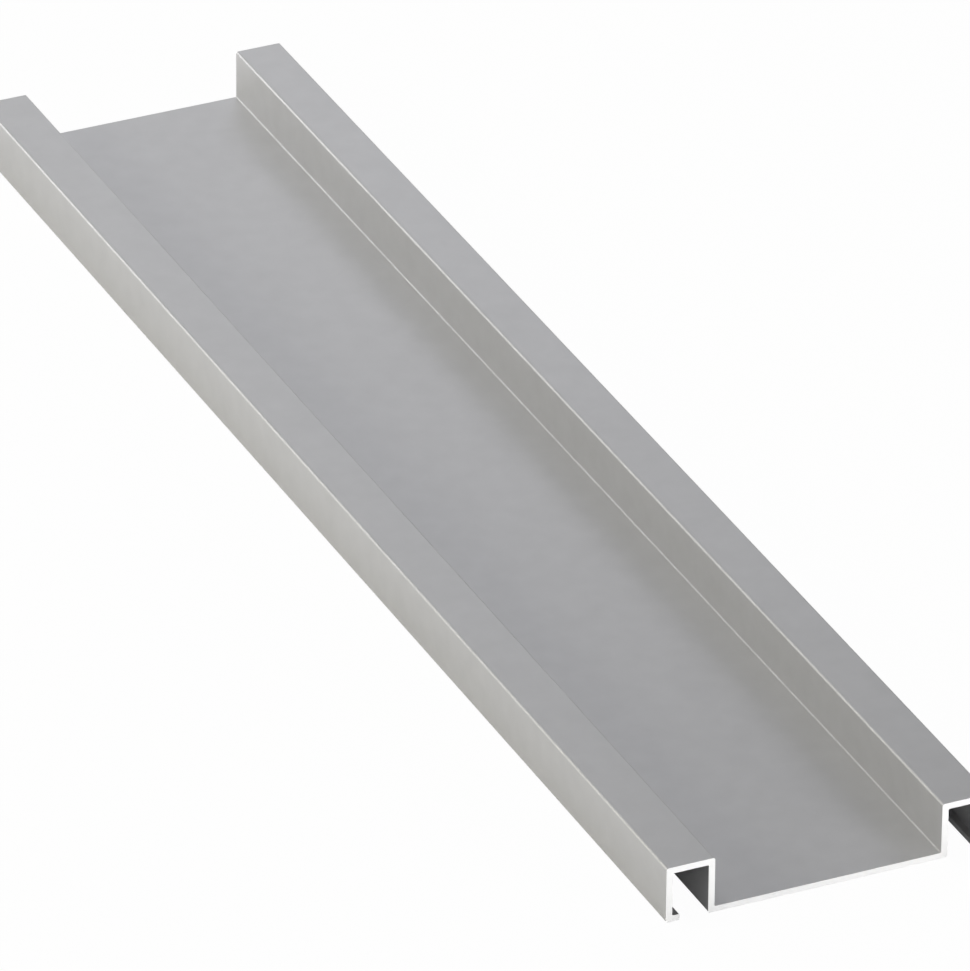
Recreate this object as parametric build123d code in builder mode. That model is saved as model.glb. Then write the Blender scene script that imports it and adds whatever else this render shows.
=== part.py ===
"""Aluminium tile trim: a length of extruded section with a flat bay between two edge channels.

The section is drawn in the XZ plane and runs along Y. The origin is at the middle of the
length, on the centre line of the underside, so the trim stands on Z = 0.
"""

from build123d import *
import os

# Driving dimensions, in millimetres
length = 280.0
height = 10.0  # from the underside to the top of the flanges
bay_width = 40.0  # clear width between the two inner walls
flange_width = 8.5  # from the bay to the outside of the trim
web_thickness = 1.0  # floor of the bay
wall_thickness = 1.1  # inner walls, flanges and outer walls
lip_thickness = 1.1
lip_reach = 1.3  # how far a lip stands in from the inside of its outer wall
outer_edge_radius = 0.45  # corners on the outside of the section
bay_corner_radius = 0.25  # where the floor of the bay meets its walls
channel_corner_radius = 0.25  # corners inside the channels
lip_edge_radius = 0.2  # free corners of the lips

# Faces of the right-hand channel, as distances from the centre line and from the underside
bay_side = bay_width / 2
outside = bay_side + flange_width
channel_inner_side = bay_side + wall_thickness
channel_outer_side = outside - wall_thickness
channel_roof = height - wall_thickness
lip_tip = channel_outer_side - lip_reach

# Corners of the right half of the section with their radii, from the floor of the bay round
# the channel to the underside
corners = [
    ((bay_side, web_thickness), bay_corner_radius),
    ((bay_side, height), outer_edge_radius),
    ((outside, height), outer_edge_radius),
    ((outside, 0), outer_edge_radius),
    ((lip_tip, 0), lip_edge_radius),
    ((lip_tip, lip_thickness), lip_edge_radius),
    ((channel_outer_side, lip_thickness), channel_corner_radius),
    ((channel_outer_side, channel_roof), channel_corner_radius),
    ((channel_inner_side, channel_roof), channel_corner_radius),
    ((channel_inner_side, 0), outer_edge_radius),
]
floor_middle = (0, web_thickness)
underside_middle = (0, 0)

with BuildPart() as trim_profile:
    with BuildSketch(Plane.XZ) as section:
        with BuildLine() as outline:
            FilletPolyline(
                floor_middle,
                *[point for point, radius in corners],
                underside_middle,
                radius=[radius for point, radius in corners],
            )
            mirror(about=Plane.YZ)
        make_face()
    extrude(amount=length / 2, both=True)

os.makedirs("parts", exist_ok=True)
trim_profile.part.label = "trim_profile"
export_step(trim_profile.part, "parts/trim_profile.step")
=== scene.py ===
"""Looks of the aluminium tile trim: satin anodising, bare sawn ends, pale floor, soft studio light."""

import math

import bpy
from mathutils import Matrix, Vector


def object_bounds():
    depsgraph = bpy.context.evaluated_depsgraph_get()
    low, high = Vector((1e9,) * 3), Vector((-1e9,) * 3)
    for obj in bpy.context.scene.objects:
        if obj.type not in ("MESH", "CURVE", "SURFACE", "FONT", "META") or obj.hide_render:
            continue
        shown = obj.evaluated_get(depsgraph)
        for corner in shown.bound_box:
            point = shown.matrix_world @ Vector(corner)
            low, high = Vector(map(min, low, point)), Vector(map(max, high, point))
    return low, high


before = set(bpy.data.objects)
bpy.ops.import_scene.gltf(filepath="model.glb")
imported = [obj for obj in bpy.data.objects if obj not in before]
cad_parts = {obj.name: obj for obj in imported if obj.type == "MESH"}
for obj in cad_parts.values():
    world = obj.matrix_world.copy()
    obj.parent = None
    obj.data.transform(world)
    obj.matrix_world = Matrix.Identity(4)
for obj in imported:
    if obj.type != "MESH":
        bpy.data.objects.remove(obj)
cad_low, cad_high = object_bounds()
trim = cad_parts["trim_profile"]

MM = 0.001
WHITE = (1, 1, 1, 1)

# Camera: a long lens, from the near left and above
camera_azimuth = math.radians(-24.876)
camera_elevation = math.radians(29.745)
camera_roll = math.radians(0.547)
camera_distance = 2.1181
camera_lens = 469.1  # focal length, in millimetres
camera_sensor = 36  # width, in millimetres
aim_right = 3.846 * MM  # where the picture's middle lies from the origin
aim_up = -0.203 * MM

# Anodised finish
satin_colour = (0.58, 0.58, 0.585, 1)
satin_metallic = 0.7  # the oxide scatters the rest of the light
satin_roughness = 0.44
grain_size = 0.22 * MM
grain_depth = 0.002 * MM
line_width = 0.5 * MM  # marks of the extrusion die, which run along Y
line_length = 120 * MM
line_depth = 0.0015 * MM
cloud_size = 4 * MM
cloud_contrast = 0.05  # share of the colour by which the finish is lighter or darker

# Sawn ends
bare_colour = (0.97, 0.97, 0.97, 1)
bare_metallic = 0.5  # torn metal scatters the rest of the light
bare_roughness = 0.5
saw_mark_pitch = 0.45 * MM
saw_mark_depth = 0.004 * MM
saw_blade_radius = 150 * MM
feed_wander_size = 4 * saw_mark_pitch  # stretch over which the marks crowd or spread
end_facing = 0.7  # share of Y in the normal, past which a face is a sawn end

# Floor and room
floor_size = 20
floor_gap = 0.02 * MM  # keeps the floor clear of the underside
floor_paint = (0.85, 0.85, 0.85, 1)
floor_white = 0.975  # share of plain white in the floor as it is seen
shade_reach = 18 * MM  # round the trim, over which mirrored floor turns from shaded paint to white
room_strength = 0.2
horizon_top = 0.14  # height of the white horizon, as the sine of its elevation
lamp_distance = 0.8
lamp_width = 0.32
lamp_height = 0.24
warm = (1, 0.96, 0.81)
cool = (0.87, 0.89, 1)


def direction(azimuth, elevation):
    """Unit vector from the object towards a camera or a light; azimuth 0 is at -Y, 90 at +X."""
    return Vector((
        math.sin(azimuth) * math.cos(elevation),
        -math.cos(azimuth) * math.cos(elevation),
        math.sin(elevation),
    ))


def make_camera():
    back = direction(camera_azimuth, camera_elevation)
    level_right = Vector((math.cos(camera_azimuth), math.sin(camera_azimuth), 0))
    level_up = back.cross(level_right)
    right = math.cos(camera_roll) * level_right + math.sin(camera_roll) * level_up
    up = back.cross(right)
    place = aim_right * right + aim_up * up + camera_distance * back
    data = bpy.data.cameras.new("camera")
    data.lens = camera_lens
    data.sensor_width = camera_sensor
    camera = bpy.data.objects.new("camera", data)
    turn = Matrix((right, up, back)).transposed().to_4x4()
    camera.matrix_world = Matrix.Translation(place) @ turn
    bpy.context.scene.collection.objects.link(camera)
    bpy.context.scene.camera = camera


def node(tree, kind, label=None, **inputs):
    """Adds a shader node; inputs are constants, or the sockets that feed it."""
    made = tree.nodes.new(kind)
    if label:
        made.label = label
    for name, value in inputs.items():
        socket = made.inputs[name.replace("_", " ")]
        if isinstance(value, bpy.types.NodeSocket):
            tree.links.new(value, socket)
        else:
            socket.default_value = value
    return made


def math_node(tree, operation, first, second=0.0, third=0.0, clamp=False):
    """Adds a calculation on constants or sockets, and gives the socket of its result."""
    made = tree.nodes.new("ShaderNodeMath")
    made.operation = operation
    made.use_clamp = clamp
    for socket, value in zip(made.inputs, (first, second, third)):
        if isinstance(value, bpy.types.NodeSocket):
            tree.links.new(value, socket)
        else:
            socket.default_value = value
    return made.outputs[0]


def hypotenuse(tree, first, second):
    squares = [math_node(tree, "POWER", side, 2) for side in (first, second)]
    return math_node(tree, "SQRT", math_node(tree, "ADD", *squares))


def mix_shaders(tree, share, first, second):
    """Shows the first shader where the share is 0 and the second where it is 1."""
    made = node(tree, "ShaderNodeMixShader", Fac=share)
    tree.links.new(first.outputs[0], made.inputs[1])
    tree.links.new(second.outputs[0], made.inputs[2])
    return made


def noise(tree, size, place, label, **inputs):
    """Adds noise whose patches are about the given size, and gives its height, 0 to 1."""
    return node(tree, "ShaderNodeTexNoise", label, Vector=place, Scale=1 / size, **inputs).outputs["Fac"]


def new_material(name):
    material = bpy.data.materials.new(name)
    material.use_nodes = True
    material.node_tree.nodes.clear()
    return material, material.node_tree


def satin_finish(tree, place):
    """Anodised skin: fine etched grain over faint die lines, a little cloudy."""
    cloud = noise(tree, cloud_size, place, "clouds", Detail=3.0)
    tint = math_node(tree, "MULTIPLY_ADD", cloud, 2 * cloud_contrast, 1 - cloud_contrast)
    colour = node(tree, "ShaderNodeMixRGB", "cloudy colour", Fac=1.0, Color1=satin_colour)
    colour.blend_type = "MULTIPLY"
    tree.links.new(tint, colour.inputs["Color2"])
    drawn_out = (1, line_width / line_length, 1)
    stretch = node(tree, "ShaderNodeMapping", "along Y", Vector=place, Scale=drawn_out)
    lines = noise(tree, line_width, stretch.outputs[0], "die lines", Detail=2.0)
    grain = noise(tree, grain_size, place, "grain", Detail=2.0)
    lined = node(tree, "ShaderNodeBump", "die lines", Height=lines, Distance=line_depth)
    grained = node(
        tree, "ShaderNodeBump", "grain", Height=grain, Distance=grain_depth, Normal=lined.outputs[0]
    )
    return node(
        tree,
        "ShaderNodeBsdfPrincipled",
        "satin",
        Base_Color=colour.outputs[0],
        Metallic=satin_metallic,
        Roughness=satin_roughness,
        Normal=grained.outputs[0],
    )


def sawn_finish(tree, place):
    """Bare metal of the ends, with the long arcs that a saw blade leaves."""
    axes = node(tree, "ShaderNodeSeparateXYZ", Vector=place)
    rise = math_node(tree, "ADD", axes.outputs["Z"], saw_blade_radius)
    radius = hypotenuse(tree, axes.outputs["X"], rise)
    wander = noise(tree, feed_wander_size, place, "uneven feed")
    radius = math_node(tree, "MULTIPLY_ADD", wander, saw_mark_pitch, radius)
    turns = math_node(tree, "MULTIPLY", radius, 2 * math.pi / saw_mark_pitch)
    marks = math_node(tree, "SINE", turns)
    bump = node(tree, "ShaderNodeBump", "saw marks", Height=marks, Distance=saw_mark_depth)
    return node(
        tree,
        "ShaderNodeBsdfPrincipled",
        "sawn",
        Base_Color=bare_colour,
        Metallic=bare_metallic,
        Roughness=bare_roughness,
        Normal=bump.outputs[0],
    )


def anodised_aluminium():
    """Satin skin on the drawn faces, and bare metal on the two sawn ends."""
    material, tree = new_material("satin_anodised_aluminium")
    place = tree.nodes.new("ShaderNodeTexCoord")
    normal = node(tree, "ShaderNodeSeparateXYZ", Vector=place.outputs["Normal"])
    facing_end = math_node(tree, "ABSOLUTE", normal.outputs["Y"])
    on_end = math_node(tree, "GREATER_THAN", facing_end, end_facing)
    satin = satin_finish(tree, place.outputs["Object"])
    sawn = sawn_finish(tree, place.outputs["Object"])
    surface = mix_shaders(tree, on_end, satin, sawn)
    node(tree, "ShaderNodeOutputMaterial", Surface=surface.outputs[0])
    return material


def softbox(name, azimuth, elevation, power, colour=(1, 1, 1)):
    """Adds a lamp that faces the trim; the angles are in degrees and the power in watts."""
    data = bpy.data.lights.new(name, "AREA")
    data.shape = "RECTANGLE"
    data.size = lamp_width
    data.size_y = lamp_height
    data.energy = power
    data.color = colour
    light = bpy.data.objects.new(name, data)
    towards = direction(math.radians(azimuth), math.radians(elevation))
    light.location = towards * lamp_distance
    light.rotation_euler = towards.to_track_quat("Z", "Y").to_euler()
    light.visible_camera = False
    bpy.context.scene.collection.objects.link(light)


def light_trim():
    """Warm light on the left side, a lamp on the near end and weaker lamps behind."""
    softbox("left_high", 270, 30, 1.36, warm)
    softbox("left_low", 250, 12, 0.92, warm)
    softbox("front", 25, 10, 2.9)
    softbox("top", 240, 75, 1.4)
    softbox("back_low", 205, 12, 0.49)
    softbox("back_left", 205, 21, 0.53)
    softbox("back_high", 180, 30, 0.18)
    softbox("back_right", 155, 30, 0.17, cool)
    softbox("back_right_low", 155, 21, 0.18)


def clear_of_trim(tree):
    """0 on the floor under the trim, rising to 1 at shade_reach from its sides and ends."""
    place = node(tree, "ShaderNodeNewGeometry").outputs["Position"]
    axes = node(tree, "ShaderNodeSeparateXYZ", Vector=place)
    gaps = []
    for axis, half in (("X", cad_high.x), ("Y", cad_high.y)):
        beyond = math_node(tree, "SUBTRACT", math_node(tree, "ABSOLUTE", axes.outputs[axis]), half)
        gaps.append(math_node(tree, "MAXIMUM", beyond, 0.0))
    return math_node(tree, "DIVIDE", hypotenuse(tree, *gaps), shade_reach, clamp=True)


def make_floor():
    """A pale painted floor, nearly plain white to the camera and, away from the trim, in mirrors."""
    material, tree = new_material("pale_floor")
    rays = node(tree, "ShaderNodeLightPath").outputs
    mirrored = math_node(tree, "MAXIMUM", rays["Is Glossy Ray"], rays["Is Transmission Ray"])
    mirrored = math_node(tree, "MULTIPLY", mirrored, clear_of_trim(tree))
    seen = math_node(tree, "MAXIMUM", rays["Is Camera Ray"], mirrored)
    share = math_node(tree, "MULTIPLY", seen, floor_white)
    paint = node(tree, "ShaderNodeBsdfDiffuse", Color=floor_paint)
    white = node(tree, "ShaderNodeEmission", Color=WHITE, Strength=1.0)
    surface = mix_shaders(tree, share, paint, white)
    node(tree, "ShaderNodeOutputMaterial", Surface=surface.outputs[0])
    bpy.ops.mesh.primitive_plane_add(size=floor_size, location=(0, 0, cad_low.z - floor_gap))
    floor = bpy.context.object
    floor.name = "floor"
    floor.data.materials.append(material)


def make_world():
    """A dim room with a white horizon, which backs the trim in level views."""
    world = bpy.data.worlds.new("studio")
    world.use_nodes = True
    tree = world.node_tree
    tree.nodes.clear()
    towards = node(tree, "ShaderNodeTexCoord").outputs["Generated"]
    height = node(tree, "ShaderNodeSeparateXYZ", Vector=towards).outputs["Z"]
    above = node(
        tree,
        "ShaderNodeMapRange",
        "above the horizon",
        Value=height,
        From_Min=horizon_top / 2,
        From_Max=horizon_top,
    )
    white = node(tree, "ShaderNodeBackground", "horizon", Color=WHITE, Strength=1.0)
    room = node(tree, "ShaderNodeBackground", "room", Color=WHITE, Strength=room_strength)
    surface = mix_shaders(tree, above.outputs[0], white, room)
    node(tree, "ShaderNodeOutputWorld", Surface=surface.outputs[0])
    bpy.context.scene.world = world


trim.data.materials.clear()
trim.data.materials.append(anodised_aluminium())
make_camera()
make_floor()
make_world()
light_trim()
bpy.context.scene.view_settings.view_transform = "Standard"
